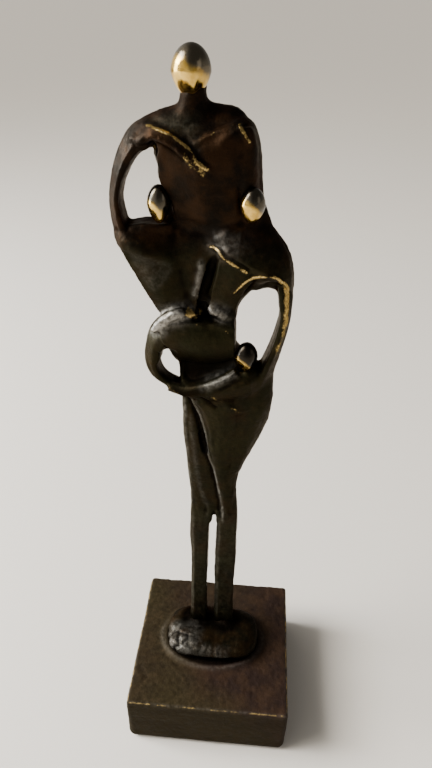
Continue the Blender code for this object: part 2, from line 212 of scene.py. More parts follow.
def add_panel(bm, rows, back):
    """A swelling front panel. Each row is (z, left x, right x, y at left, middle, right)."""
    rings = []
    for z, left, right, *fronts in rows:
        ys = np.interp(np.linspace(0, 1, PANEL_COLUMNS), (0, 0.5, 1), fronts)
        ys[1:-1] = 0.25 * ys[:-2] + 0.5 * ys[1:-1] + 0.25 * ys[2:]
        front = [(x, y, z) for x, y in zip(np.linspace(left, right, PANEL_COLUMNS), ys)]
        rings.append(front + [(right, back, z), (left, back, z)])
    smooth = [spline([ring[i] for ring in rings], pieces=3) for i in range(len(rings[0]))]
    add_rings(bm, [[column[j] for column in smooth] for j in range(len(smooth[0]))])


def add_ellipsoid(bm, centre, radii):
    place = Matrix.Translation(centre) @ Matrix.Diagonal((*radii, 1))
    bmesh.ops.create_uvsphere(bm, u_segments=28, v_segments=18, radius=1.0, matrix=place)


def add_rope(bm, stations):
    """A round form along a curve. Each station is (x, y, z, radius)."""
    line = spline(stations, pieces=5)
    rings = []
    for k, (x, y, z, radius) in enumerate(line):
        run = Vector(line[min(k + 1, len(line) - 1)][:3] - line[max(k - 1, 0)][:3]).normalized()
        side = run.cross(Vector((0, 1, 0))).normalized()
        up = side.cross(run)
        rings.append([
            Vector((x, y, z)) + float(radius) * (math.cos(turn) * side + math.sin(turn) * up)
            for turn in np.arange(ROPE_SIDES) * FULL_TURN / ROPE_SIDES
        ])
    add_rings(bm, rings)


def add_band(bm, stations, section):
    """A bar along a curve in the XZ plane, with a section of flat faces.

    Each station is (x, z, half width, front y, back y). The section's points go from -1 to 1
    across the bar, which is to the right of its run, and from front to back.
    """
    line = spline(stations, pieces=4)
    rings = []
    for k, (x, z, half, front, back) in enumerate(line):
        run = Vector(line[min(k + 1, len(line) - 1)][:2] - line[max(k - 1, 0)][:2]).normalized()
        middle, deep = 0.5 * (front + back), 0.5 * (back - front)
        rings.append([(x - run.y * half * u, middle + deep * v, z + run.x * half * u)
                      for u, v in section])
    add_rings(bm, rings)


# ----- The skin: one fused surface that is sculpted as arrays -----


class Skin:
    """A remeshed surface. Marks are values from 0 to 1 that its material reads."""

    def __init__(self, bm, voxel):
        bmesh.ops.recalc_face_normals(bm, faces=bm.faces)
        mesh = make_mesh("form", bm)
        form = add_object("form", mesh)
        fuse = form.modifiers.new("fuse", "REMESH")
        fuse.mode = "VOXEL"
        fuse.voxel_size = voxel
        fused = form.evaluated_get(bpy.context.evaluated_depsgraph_get())
        self.mesh = bpy.data.meshes.new_from_object(fused)
        bpy.data.objects.remove(form)
        bpy.data.meshes.remove(mesh)
        count = len(self.mesh.vertices)
        self.co = np.zeros(count * 3)
        self.mesh.vertices.foreach_get("co", self.co)
        self.co = self.co.reshape(-1, 3)
        edges = np.zeros(len(self.mesh.edges) * 2, int)
        self.mesh.edges.foreach_get("vertices", edges)
        self.edges = edges.reshape(-1, 2)
        self.degree = np.bincount(edges, minlength=count)[:, None]
        # Marks: worn brass; near black for darker patina in hollows and for painted shade; olive
        # tone; pale grey for solder and also for painted highlights and sheen
        self.marks = {name: np.zeros(count) for name in ("wear", "hollow", "olive", "braze")}

    def average(self, values):
        """Each point's mean over its neighbours."""
        a, b = self.edges.T
        columns = [
            np.bincount(a, values[b, k], len(values)) + np.bincount(b, values[a, k], len(values))
            for k in range(values.shape[1])
        ]
        return np.stack(columns, axis=1) / self.degree

    def smooth(self, rounds, where=None):
        """Taubin smoothing, which keeps the volume; where is a share for each point."""
        amount = 1.0 if where is None else where[:, None]
        for _ in range(rounds):
            for step in (0.55, -0.57):
                self.co += amount * step * (self.average(self.co) - self.co)

    def relax(self, rounds, where):
        """Plain smoothing, which melts creases; where is a share for each point."""
        for _ in range(rounds):
            self.co += 0.5 * where[:, None] * (self.average(self.co) - self.co)

    def grab(self, centre, reach, move):
        """Drag the points near a place by an amount, both (x, z)."""
        gap = np.hypot(*(self.co[:, [0, 2]] - centre).T)
        share = smoothstep(reach, 0.25 * reach, gap)
        self.co[:, [0, 2]] += share[:, None] * np.asarray(move)

    def near(self, path, width):
        """How near each point of the front lies to a path of (x, z), from 0 to 1."""
        gap, share = measure(self.co[:, [0, 2]], spline(path))
        ends = smoothstep(0, 0.1, share) * smoothstep(1, 0.9, share)
        return np.exp(-((gap / width) ** 2)) * self.facing() * (0.3 + 0.7 * ends)

    def normals(self):
        self.mesh.vertices.foreach_set("co", self.co.astype(np.float32).ravel())
        self.mesh.update()
        flat = np.zeros(self.co.size)
        self.mesh.vertex_normals.foreach_get("vector", flat)
        return flat.reshape(-1, 3)

    def push(self, amount):
        """Move each point outwards by its amount."""
        self.co += self.normals() * np.asarray(amount)[..., None]

    def mark(self, name, share):
        self.marks[name] = np.maximum(self.marks[name], np.clip(share, 0, 1))

    def facing(self, forward=True):
        """How far each point faces the front, or the back, from 0 to 1."""
        y = self.normals()[:, 1] * (-1 if forward else 1)
        return smoothstep(0.0, 0.45, y)

    def stroke(self, path, width, height, wear=0.0, forward=True, wear_width=1.3):
        """A ridge, or with a negative height a groove, along a path of (x, z).

        wear rubs it to bare brass, wear_width times as wide as the ridge.
        """
        gap, share = measure(self.co[:, [0, 2]], spline(path))
        ends = smoothstep(0, 0.08, share) * smoothstep(1, 0.92, share)
        held = (0.25 + 0.75 * ends) * self.facing(forward)
        shape = np.exp(-((gap / width) ** 2)) * held
        self.push(height * shape)
        if wear:
            broken = 0.80 + 0.35 * noise(self.co, 1.7, 11)
            self.mark("wear", wear * broken * np.exp(-((gap / (wear_width * width)) ** 2)) * held)

    def region(self, outline, amount, soft):
        """Move the front's area inside an outline of (x, z) out, or in with a negative amount."""
        flat = self.co[:, [0, 2]]
        ring = spline(outline, closed=True, pieces=5)
        gap, _ = measure(flat, np.vstack([ring, ring[:1]]))
        within = np.where(inside(flat, ring), gap, -gap)
        share = smoothstep(-0.3 * soft, 0.7 * soft, within) * self.facing()
        self.push(amount * share)
        return share

    def read_hollows(self):
        """Mark hollows from how the surface curves, darkened partly as patina and partly as painted
        shade, and keep the curve for other marks.
        """
        normals = self.normals()
        blurred = self.co
        for _ in range(9):
            blurred = self.average(blurred)
        self.bulge = np.einsum("ij,ij->i", normals, self.co - blurred)
        self.mark("hollow", smoothstep(-0.02, -0.20, self.bulge))

    def finish(self, name, material, nodes):
        """Write the skin to an object in metres that rides on the body for its nodes."""
        self.co *= MM
        self.mesh.vertices.foreach_set("co", self.co.astype(np.float32).ravel())
        self.mesh.update()
        for mark, values in self.marks.items():
            layer = self.mesh.attributes.new(mark, "FLOAT", "POINT")
            layer.data.foreach_set("value", np.clip(values, 0, 1).astype(np.float32))
        self.mesh.name = name
        return add_piece(name, self.mesh, material, nodes)


def add_piece(name, mesh, material, nodes):
    mesh.materials.clear()
    mesh.materials.append(material)
    mesh.shade_smooth()
    piece = add_object(name, mesh)
    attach(piece, "root")
    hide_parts(*nodes)
    return piece


# ----- Materials -----


class Graph:
    """A material and short calls for the nodes that it is made of."""

    def __init__(self, name):
        self.material = bpy.data.materials.new(name)
        self.material.use_nodes = True
        self.tree = self.material.node_tree
        self.shader = self.tree.nodes["Principled BSDF"]
        self.place = self.tree.nodes.new("ShaderNodeTexCoord").outputs["Object"]

    def set(self, **values):
        """Fixed values, or sockets, on the shader."""
        for name, value in values.items():
            self.link(self.shader.inputs[name.replace("_", " ").title()], value)

    def link(self, socket, value):
        if isinstance(value, bpy.types.NodeSocket):
            self.tree.links.new(value, socket)
        else:
            socket.default_value = value

    def attribute(self, name):
        node = self.tree.nodes.new("ShaderNodeAttribute")
        node.attribute_name = name
        return node.outputs["Fac"]

    def grain(self, size, detail=3.0, roughness=0.55, place=None, distortion=0.0):
        """Noise from 0 to 1 in lumps of about that size in millimetres."""
        node = self.tree.nodes.new("ShaderNodeTexNoise")
        self.link(node.inputs["Vector"], place or self.place)
        node.inputs["Scale"].default_value = 1 / (size * MM)
        node.inputs["Detail"].default_value = detail
        node.inputs["Roughness"].default_value = roughness
        node.inputs["Distortion"].default_value = distortion
        return node.outputs["Fac"]

    def stretched(self, scale):
        """Coordinates scaled by three factors, so that grain on them is drawn out."""
        node = self.tree.nodes.new("ShaderNodeMapping")
        self.link(node.inputs["Vector"], self.place)
        node.inputs["Scale"].default_value = scale
        return node.outputs["Vector"]

    def math(self, operation, a, b=0.0, c=0.0):
        node = self.tree.nodes.new("ShaderNodeMath")
        node.operation = operation
        for socket, value in zip(node.inputs, (a, b, c)):
            self.link(socket, value)
        return node.outputs["Value"]

    def ramp(self, value, low, high, start=0.0, end=1.0):
        node = self.tree.nodes.new("ShaderNodeMapRange")
        node.interpolation_type = "SMOOTHSTEP"
        for name, item in (("Value", value), ("From Min", low), ("From Max", high),
                           ("To Min", start), ("To Max", end)):
            self.link(node.inputs[name], item)
        return node.outputs["Result"]

    def mix(self, share, a, b):
        """A colour between two colours."""
        node = self.tree.nodes.new("ShaderNodeMix")
        node.data_type = "RGBA"
        self.link(node.inputs["Factor"], share)
        for socket, value in ((node.inputs[6], a), (node.inputs[7], b)):
            self.link(socket, value if isinstance(value, bpy.types.NodeSocket) else (*value, 1.0))
        return node.outputs[2]

    def bump(self, height, distance, normal=None):
        """A bump of that depth in millimetres."""
        node = self.tree.nodes.new("ShaderNodeBump")
        node.inputs["Distance"].default_value = distance * MM
        self.link(node.inputs["Height"], height)
        if normal is not None:
            self.link(node.inputs["Normal"], normal)
        return node.outputs["Normal"]


BRASS_COLOUR = (0.58, 0.41, 0.15)


def make_patina(name, brown, black, olive, wear_level=0.5, grit=0.11, metal=0.6, satin=0.32):
    """Dark patina over brass, rubbed through on the ridges, darker in the hollows, and near black
    where shade is painted.

    metal is the metallic share of the patina, and satin its lowest roughness.
    """
    g = Graph(name)
    blotch = g.grain(5.0, detail=4)
    mottle = g.grain(1.3, detail=5, roughness=0.65)
    speck = g.grain(0.45, detail=3)
    colour = g.mix(g.ramp(blotch, 0.35, 0.68), black, brown)
    green = g.mix(g.ramp(mottle, 0.3, 0.7), tuple(0.55 * c for c in olive), olive)
    colour = g.mix(g.math("MULTIPLY", g.attribute("olive"), 0.85), colour, green)
    colour = g.mix(g.ramp(mottle, 0.55, 0.78, 0.0, 0.45), colour, tuple(1.9 * c for c in brown))
    hollow = g.attribute("hollow")
    # Near black in the hollows, partly darker patina and partly painted shade, and wherever shade
    # is painted on
    colour = g.mix(g.math("MULTIPLY", hollow, 0.8), colour, (0.0035, 0.0026, 0.0022))
    # Pale grey for solder, and also for painted highlights and sheen wherever the braze mark is
    # laid for them
    solder_and_sheen_grey = g.mix(g.ramp(mottle, 0.35, 0.65), (0.10, 0.094, 0.082), (0.37, 0.355, 0.325))
    colour = g.mix(g.attribute("braze"), colour, solder_and_sheen_grey)
    level = g.math("ADD", g.attribute("wear"), g.math("MULTIPLY_ADD", mottle, 0.5, -0.25))
    level = g.math("ADD", level, g.math("MULTIPLY_ADD", speck, 0.3, -0.15))
    rubbed = g.ramp(level, wear_level - 0.13, wear_level + 0.13)
    brass = g.mix(g.ramp(speck, 0.35, 0.7), tuple(0.45 * c for c in BRASS_COLOUR), BRASS_COLOUR)
    colour = g.mix(rubbed, colour, brass)
    dull = g.math("MULTIPLY_ADD", hollow, 0.15, g.ramp(mottle, 0.25, 0.75, satin, satin + 0.2))
    # Worn brass, pale grey, and the near-black hollows and painted shade are fully metallic
    bare = g.math("MAXIMUM", g.math("MAXIMUM", rubbed, g.attribute("braze")), hollow)
    g.set(
        base_color=colour,
        metallic=g.ramp(bare, 0.0, 1.0, metal, 1.0),
        roughness=g.math("MULTIPLY_ADD", rubbed, -0.08, dull),
    )
    g.shader.inputs["Specular IOR Level"].default_value = 0.12
    # The tint keeps the patina dark at grazing angles
    g.shader.inputs["Specular Tint"].default_value = (0.50, 0.45, 0.36, 1.0)
    cast = g.math("MULTIPLY_ADD", speck, 0.5, mottle)
    g.set(normal=g.bump(cast, grit))
    return g.material


def make_polished(name, centre, half, way, start, tarnish_and_reflection):
    """Polished brass, darker towards one side with tarnish and a painted dark reflection; way is
    that side's direction.
    """
    g = Graph(name)
    split = g.tree.nodes.new("ShaderNodeSeparateXYZ")
    g.link(split.inputs[0], g.place)
    towards = None
    for axis, weight, middle, reach in zip("XYZ", way, centre, half):
        share = g.math("MULTIPLY_ADD", split.outputs[axis], weight / (reach * MM),
                       -weight * middle / reach)
        towards = share if towards is None else g.math("ADD", towards, share)
    mottle = g.grain(1.5, detail=4, roughness=0.6)
    scratches = g.grain(0.5, detail=2, place=g.stretched((1.0, 1.0, 0.12)))
    level = g.math("ADD", towards, g.math("MULTIPLY_ADD", mottle, 0.6, -0.3))
    dark = g.ramp(level, start, start + 0.35)
    brass = g.mix(g.ramp(mottle, 0.3, 0.7), (0.50, 0.31, 0.060), (0.70, 0.47, 0.12))
    g.set(
        base_color=g.mix(dark, brass, tarnish_and_reflection),
        metallic=1.0,
        roughness=g.math("ADD", g.ramp(scratches, 0.3, 0.75, 0.10, 0.20),
                         g.math("MULTIPLY", dark, 0.06)),
        normal=g.bump(scratches, 0.012),
    )
    return g.material


def make_steel(name):
    g = Graph(name)
    turned = g.grain(0.25, detail=2, place=g.stretched((0.15, 0.15, 1.0)))
    cloudy = g.grain(2.0, detail=3)
    g.set(
        base_color=g.mix(cloudy, (0.42, 0.43, 0.45), (0.62, 0.62, 0.60)),
        metallic=1.0,
        roughness=g.ramp(turned, 0.3, 0.7, 0.28, 0.45),
        normal=g.bump(turned, 0.02),
    )
    return g.material


def make_felt_material(name):
    g = Graph(name)
    nap = g.grain(0.35, detail=4, roughness=0.7, distortion=1.5)
    g.set(
        base_color=g.mix(nap, (0.006, 0.006, 0.007), (0.032, 0.031, 0.030)),
        roughness=0.95,
        sheen_weight=0.3,
        normal=g.bump(nap, 0.15),
    )
    return g.material


# ----- The figure -----


FIGURE_NODES = [
    "parent_neck", "shoulder_yoke", "parent_trunk", "parent_left_arm", "parent_right_arm",
    "left_child_body", "right_child_shoulders", "right_child_robe", "right_child_arm",
    "centre_fold", "left_braze_fillet", "right_braze_fillet", "lower_chest", "lower_left_arm",
    "robe_under_panel", "robe_front_panel", "left_leg", "right_leg",
]

# Nodes whose forms are made again here, with the flat faces of bent wax strip
BAR_NODES = ["parent_left_arm", "parent_right_arm", "right_child_arm", "lower_left_arm", "left_leg",
             "right_leg"]

# Sections of the bars: a wide bevel on the outer front edge, which is on the left in these
ARM_SECTION = [(1.0, -0.5), (0.78, -0.96), (0.15, -1.0), (-0.86, -0.3), (-1.0, 0.2), (-0.75, 0.9),
               (0.6, 1.0), (1.0, 0.6)]
LEG_SECTION = [(1.0, -0.75), (0.85, -0.95), (-0.55, -1.0), (-0.96, -0.5), (-1.0, 0.7), (-0.8, 1.0),
               (0.8, 1.0), (1.0, 0.8)]

# Stations of the bars: (x, z, half width, front y, back y)
PARENT_LEFT_ARM = [
    (-15.4, 184.0, 2.8, 1.6, 9.6),
    (-19.6, 182.2, 3.1, 0.6, 9.8),
    (-22.2, 179.5, 2.7, 0.6, 9.6),
    (-24.2, 175.9, 2.25, 0.8, 9.2),
    (-25.6, 171.8, 1.85, 1.2, 8.8),
    (-26.2, 167.6, 1.75, 1.4, 8.6),
    (-25.4, 162.4, 2.1, 1.0, 8.6),
    (-23.4, 157.0, 2.4, 1.6, 8.4),
]
PARENT_RIGHT_ARM = [
    (1.4, 186.2, 1.5, 1.6, 9.6),
    (3.8, 183.9, 1.7, 0.4, 9.8),
    (5.1, 179.5, 1.8, 0.2, 9.8),
    (5.5, 173.5, 2.0, 1.0, 9.8),
    (6.0, 167.5, 2.4, 2.2, 9.8),
    (8.0, 162.5, 2.6, 2.4, 9.6),
]
RIGHT_CHILD_ARM = [
    (13.2, 150.4, 2.4, 1.4, 8.8),
    (14.5, 147.0, 2.2, 0.0, 8.8),
    (15.0, 142.2, 1.7, -0.4, 8.4),
    (14.5, 137.6, 1.75, -0.4, 8.2),
    (13.4, 132.6, 1.85, -0.4, 8.4),
    (12.0, 127.4, 2.2, -0.4, 8.8),
    (10.6, 122.0, 2.6, 0.6, 8.8),
    (10.2, 117.6, 2.4, 2.6, 8.6),
]
LOWER_LEFT_ARM = [
    (-10.4, 139.0, 1.6, 1.0, 8.4),
    (-14.4, 137.6, 2.2, 0.2, 8.2),
    (-16.9, 134.6, 2.6, 0.0, 7.8),
    (-18.5, 130.4, 2.2, 0.4, 7.4),
    (-18.7, 126.4, 2.1, 0.4, 7.2),
    (-17.5, 122.9, 1.9, 0.7, 7.0),
    (-15.0, 120.6, 1.7, 1.0, 6.8),
    (-12.0, 119.0, 1.7, 1.0, 7.0),
    (-8.8, 117.6, 1.6, 0.8, 7.4),
]
LEFT_LEG = [
    (-5.2, 90.0, 2.4, 5.6, 7.6),
    (-5.3, 82.0, 2.9, 5.3, 8.8),
    (-5.5, 72.0, 3.0, 5.2, 9.6),
    (-5.7, 52.0, 2.9, 4.2, 8.6),
    (-5.6, 32.0, 2.85, 3.2, 7.6),
    (-5.6, 21.0, 3.2, 2.8, 7.2),
]
RIGHT_LEG = [
    (2.4, 90.0, 2.0, 5.4, 7.6),
    (2.5, 82.0, 2.7, 5.0, 8.8),
    (2.6, 72.0, 3.3, 4.8, 9.6),
    (2.65, 52.0, 3.5, 4.2, 8.6),
    (2.75, 32.0, 3.4, 3.2, 7.6),
    (3.1, 21.0, 3.5, 2.8, 7.2),
]

# Panels of the figure: rows of (z, left x, right x, y at left, middle, right), and the back's y
PARENT_CHEST = [
    (185.0, -17.5, 1.8, 1.2, 0.8, -0.2),
    (182.0, -16.6, 1.9, -0.5, -1.7, -1.1),
    (179.0, -15.8, 1.8, -0.4, -3.1, -1.2),
    (175.5, -15.4, 1.8, 0.0, -2.9, -0.5),
    (172.0, -14.6, 1.9, 0.9, -1.8, 0.4),
    (168.5, -13.2, 2.3, 2.0, -0.8, 1.0),
    (165.0, -12.4, 2.3, 2.8, 0.4, 1.8),
    (162.0, -11.0, 1.0, 4.2, 2.6, 3.4),
], 6.5
RIGHT_SLEEVE = [
    (185.4, 0.5, 4.4, 0.8, -0.3, 0.8),
    (182.0, 0.5, 5.8, 0.4, -0.6, 0.6),
    (177.0, 0.5, 6.2, 0.6, -0.4, 0.8),
    (172.0, 0.6, 6.6, 1.4, 0.3, 1.4),
    (168.0, 1.0, 7.0, 2.4, 1.8, 2.4),
    (164.0, 1.2, 7.0, 3.2, 2.6, 2.8),
], 6.5
LEFT_CHILD_ROBE = [
    (158.4, -25.4, -12.2, 0.0, -1.0, 2.4),
    (155.0, -23.6, -11.6, -0.4, -1.2, 1.9),
    (150.0, -21.2, -10.4, 0.4, -0.5, 1.8),
    (145.0, -18.6, -9.4, 1.2, 0.5, 2.0),
    (140.6, -16.4, -8.6, 2.0, 1.6, 2.4),
], 6.0
MIDDLE_CLOTH = [
    (162.0, -13.4, -2.6, 3.4, 3.2, 3.2),
    (157.0, -13.0, -3.6, 2.4, 1.9, 1.2),
    (152.0, -12.0, -4.8, 1.9, 1.7, 0.7),
    (147.0, -11.0, -6.0, 2.0, 1.7, 0.6),
    (142.6, -10.2, -6.8, 2.4, 2.2, 1.4),
], 7.0
GROOVE_FLOOR = [
    (159.0, -4.4, -0.2, 1.6, 1.9, 0.6),
    (154.0, -5.6, -1.0, 1.2, 2.3, 0.2),
    (149.0, -6.8, -2.0, 1.2, 2.6, 0.6),
    (144.0, -8.0, -3.0, 2.0, 3.0, 1.6),
], 7.0
RIGHT_CHILD_ROBE = [
    (157.2, -1.2, 2.2, -1.0, -1.6, -1.2),
    (154.4, -1.8, 6.2, -0.8, -1.7, -1.0),
    (151.0, -2.5, 6.4, -0.4, -1.2, -0.2),
    (147.6, -3.3, 4.4, 0.2, -0.4, 0.8),
    (143.6, -4.0, 3.2, 1.0, 0.6, 1.6),
    (140.8, -4.0, 2.8, 1.8, 1.6, 2.2),
], 6.0
BELLY = [
    (139.8, -13.6, 2.8, 0.2, -0.4, 0.2),
    (137.4, -15.6, 3.1, -0.5, -1.6, -0.4),
    (134.0, -15.4, 3.2, -0.5, -2.0, -0.5),
    (130.6, -12.5, 3.4, 0.4, -1.2, 0.4),
    (127.4, -11.6, 3.8, 2.2, 0.8, 1.6),
    (124.6, -11.0, 4.6, 3.6, 3.0, 3.0),
], 6.5

# Round forms: stations of (x, y, z, radius)
NECK = [(-8.2, 5.8, 184.5, 4.2), (-8.4, 5.6, 188.0, 3.5), (-8.3, 5.7, 190.6, 3.1),
        (-7.6, 6.6, 193.0, 2.5)]
FOREARM = [(-14.0, 1.6, 120.0, 1.5), (-9.6, 0.6, 119.6, 1.9), (-5.0, -0.4, 121.0, 1.9),
           (-0.6, -0.9, 123.4, 1.7), (4.0, -0.4, 126.6, 1.5)]
LEFT_SOLDER = [(-17.9, 0.5, 136.4, 0.9), (-15.2, 0.2, 139.6, 1.5), (-12.2, 0.3, 141.3, 1.8),
               (-9.6, 0.8, 141.8, 1.5)]
RIGHT_SOLDER = [(-4.0, 1.6, 142.8, 1.2), (-1.8, 1.1, 142.8, 1.7), (0.7, 1.3, 141.3, 1.1)]
SLIT_LEFT = [(-3.5, 61.6, 0.4), (-3.25, 67.6, 0.95), (-2.9, 70.8, 1.4), (-2.2, 74.8, 1.7)]
SLIT_RIGHT = [(0.65, 66.2, 0.6), (0.45, 70.2, 1.35), (0.0, 74.0, 1.9)]
SLIT_DEPTHS = (6.4, 7.6, 8.6)

# Lines on the figure, as (x, z)
PARENT_LEFT_LAPEL = [(-18.6, 184.6), (-13.8, 183.7), (-10.2, 181.9), (-7.9, 180.2), (-6.6, 178.3),
                     (-3.6, 176.6)]
PARENT_RIGHT_LAPEL = [(2.1, 186.2), (-1.8, 184.5), (-5.4, 182.8), (-7.5, 181.4)]
RIGHT_SHOULDER_RIDGE = [(1.6, 185.7), (2.9, 184.0), (4.3, 182.0)]
ARM_GROOVE = [(1.2, 183.4), (1.8, 180.1), (1.7, 175.9), (1.2, 172.6)]
LEFT_CHILD_LAPEL = [(-24.1, 160.2), (-21.4, 158.9), (-18.4, 157.6), (-14.7, 156.6), (-12.4, 154.6)]
RIGHT_CHILD_LAPEL = [(-4.1, 158.6), (-1.8, 158.5), (-0.1, 156.9), (2.9, 155.3), (5.5, 153.5)]
CENTRE_GROOVE = [(-2.7, 156.6), (-3.5, 153.0), (-4.4, 149.6), (-5.8, 145.6)]
FOLD_RIDGE = [(-5.8, 155.1), (-6.5, 150.0), (-7.6, 145.8)]
PANEL_EDGE = [(-1.2, 155.8), (-2.4, 150.5), (-3.9, 146.2)]
HOLE_RIM = [(1.8, 147.8), (3.8, 150.4), (6.0, 152.3), (9.0, 153.4), (11.8, 153.2), (13.8, 151.4),
            (15.0, 148.4)]
ARM_BAND = [(12.6, 152.0), (14.2, 149.4), (14.9, 144.8), (14.8, 139.3), (14.1, 135.0),
            (13.2, 130.5)]
LOWER_RIM = [(-17.6, 136.4), (-14.3, 138.3), (-7.9, 139.5), (-4.7, 139.5), (0.2, 139.0),
             (2.9, 138.3)]
LAP_RIDGE = [(-4.6, 122.2), (-2.6, 123.2), (0.2, 124.7), (3.6, 126.8)]
ARM_HEM = [(-20.1, 127.6), (-18.2, 123.2), (-14.3, 120.6), (-10.4, 118.8), (-8.0, 116.7)]
UNDER_EDGE = [(-10.2, 115.0), (-9.7, 108.0), (-9.2, 99.0), (-8.5, 86.0), (-8.0, 74.0)]
UNDER_STREAK = [(-8.2, 110.0), (-7.4, 100.0), (-6.6, 90.0), (-5.2, 81.0), (-3.4, 75.0)]
WRAP_EDGE = [(-8.0, 116.7), (-6.1, 112.0), (-4.9, 107.2), (-4.0, 101.8), (-3.4, 96.4), (-1.8, 91.6),
             (-0.4, 84.6), (1.0, 75.6), (1.6, 69.0)]


def make_figure_form():
    """The castings and the swelling forms that give the figure its relief."""
    bm = bmesh.new()
    for node in FIGURE_NODES:
        if node not in BAR_NODES:
            add_node(bm, node)
    mirrored = [(-u, v) for u, v in ARM_SECTION]
    for stations, section in ((PARENT_LEFT_ARM, ARM_SECTION), (PARENT_RIGHT_ARM, mirrored),
                              (RIGHT_CHILD_ARM, mirrored), (LOWER_LEFT_ARM, ARM_SECTION),
                              (LEFT_LEG, LEG_SECTION), (RIGHT_LEG, LEG_SECTION)):
        add_band(bm, stations, section)
    for rows, back in (PARENT_CHEST, RIGHT_SLEEVE, LEFT_CHILD_ROBE, MIDDLE_CLOTH, GROOVE_FLOOR,
                       RIGHT_CHILD_ROBE, BELLY):
        add_panel(bm, rows, back)
    for stations in (NECK, FOREARM, LEFT_SOLDER, RIGHT_SOLDER):
        add_rope(bm, stations)
    for y in SLIT_DEPTHS:
        for stations in (SLIT_LEFT, SLIT_RIGHT):
            add_rope(bm, [(x, y, z, radius) for x, z, radius in stations])
    add_ellipsoid(bm, (1.0, 3.2, 160.4), (4.8, 3.6, 3.4))  # the right child's shoulder
    return bm


def sculpt_parent(skin):
    x, y, z = skin.co.T
    neck = smoothstep(8.0, 5.0, abs(x + 8.0))
    neck *= smoothstep(183.5, 185.5, z) * smoothstep(190.5, 189.0, z)
    collar = smoothstep(6.0, 3.0, np.hypot(x + 2.6, z - 183.0)) * smoothstep(4.0, 2.0, y)
    skin.relax(28, where=np.maximum(neck, collar))
    outer = smoothstep(4.4, 8.2, x) * smoothstep(161, 165, z)
    skin.co[:, 1] += 0.55 * outer * (5.6 - y)
    arm = smoothstep(3.4, 4.8, x) * smoothstep(161, 165, z)
    skin.relax(20, where=arm)
    skin.push(0.25 * arm)
    skin.grab((-16.6, 180.4), 2.4, (0.7, 0.2))
    skin.grab((-14.9, 173.6), 2.6, (-0.5, 0.0))
    skin.grab((-18.8, 182.0), 2.8, (0.0, -1.3))
    neck_hollow = [(-18.0, 185.4), (-13.8, 184.6), (-9.6, 182.6), (-6.4, 179.4), (-5.0, 180.6),
                   (-1.6, 185.2), (1.0, 187.0), (-3.6, 187.2), (-9.0, 187.0)]
    hollow = skin.region(neck_hollow, -0.3, 3.6)
    left_part = hollow * smoothstep(-5.0, -10.0, x)
    # The left part of the neck hollow is olive, with a little pale grey as a painted sheen
    skin.mark("olive", 0.9 * left_part)
    skin.mark("braze", 0.07 * left_part)
    skin.stroke(shifted(PARENT_LEFT_LAPEL, 0.3, 1.1), 0.9, -0.3)
    skin.stroke(PARENT_LEFT_LAPEL, 0.42, 0.5, wear=0.85, wear_width=0.9)
    skin.stroke(shifted(PARENT_LEFT_LAPEL[2:], -1.0, -1.2), 0.9, 0.2, wear=0.40)
    rubbed_band = shifted(PARENT_LEFT_LAPEL[2:], -0.6, -0.6)
    skin.stroke(rubbed_band, 1.9, 0.0, wear=0.41, wear_width=1.0)
    skin.stroke(shifted(PARENT_RIGHT_LAPEL, 0.0, 1.0), 0.7, -0.25)
    skin.stroke(PARENT_RIGHT_LAPEL, 0.5, 0.3, wear=0.42)
    skin.stroke(ARM_GROOVE, 1.4, -0.15)
    skin.relax(20, where=skin.near(ARM_GROOVE, 1.6))
    skin.stroke(RIGHT_SHOULDER_RIDGE, 0.45, 0.45, wear=0.85)
    skin.stroke([(-18.4, 182.2), (-17.4, 181.6)], 0.8, -0.6)
    skin.stroke([(-16.9, 181.2), (-16.0, 179.8)], 0.4, 0.25, wear=0.8)


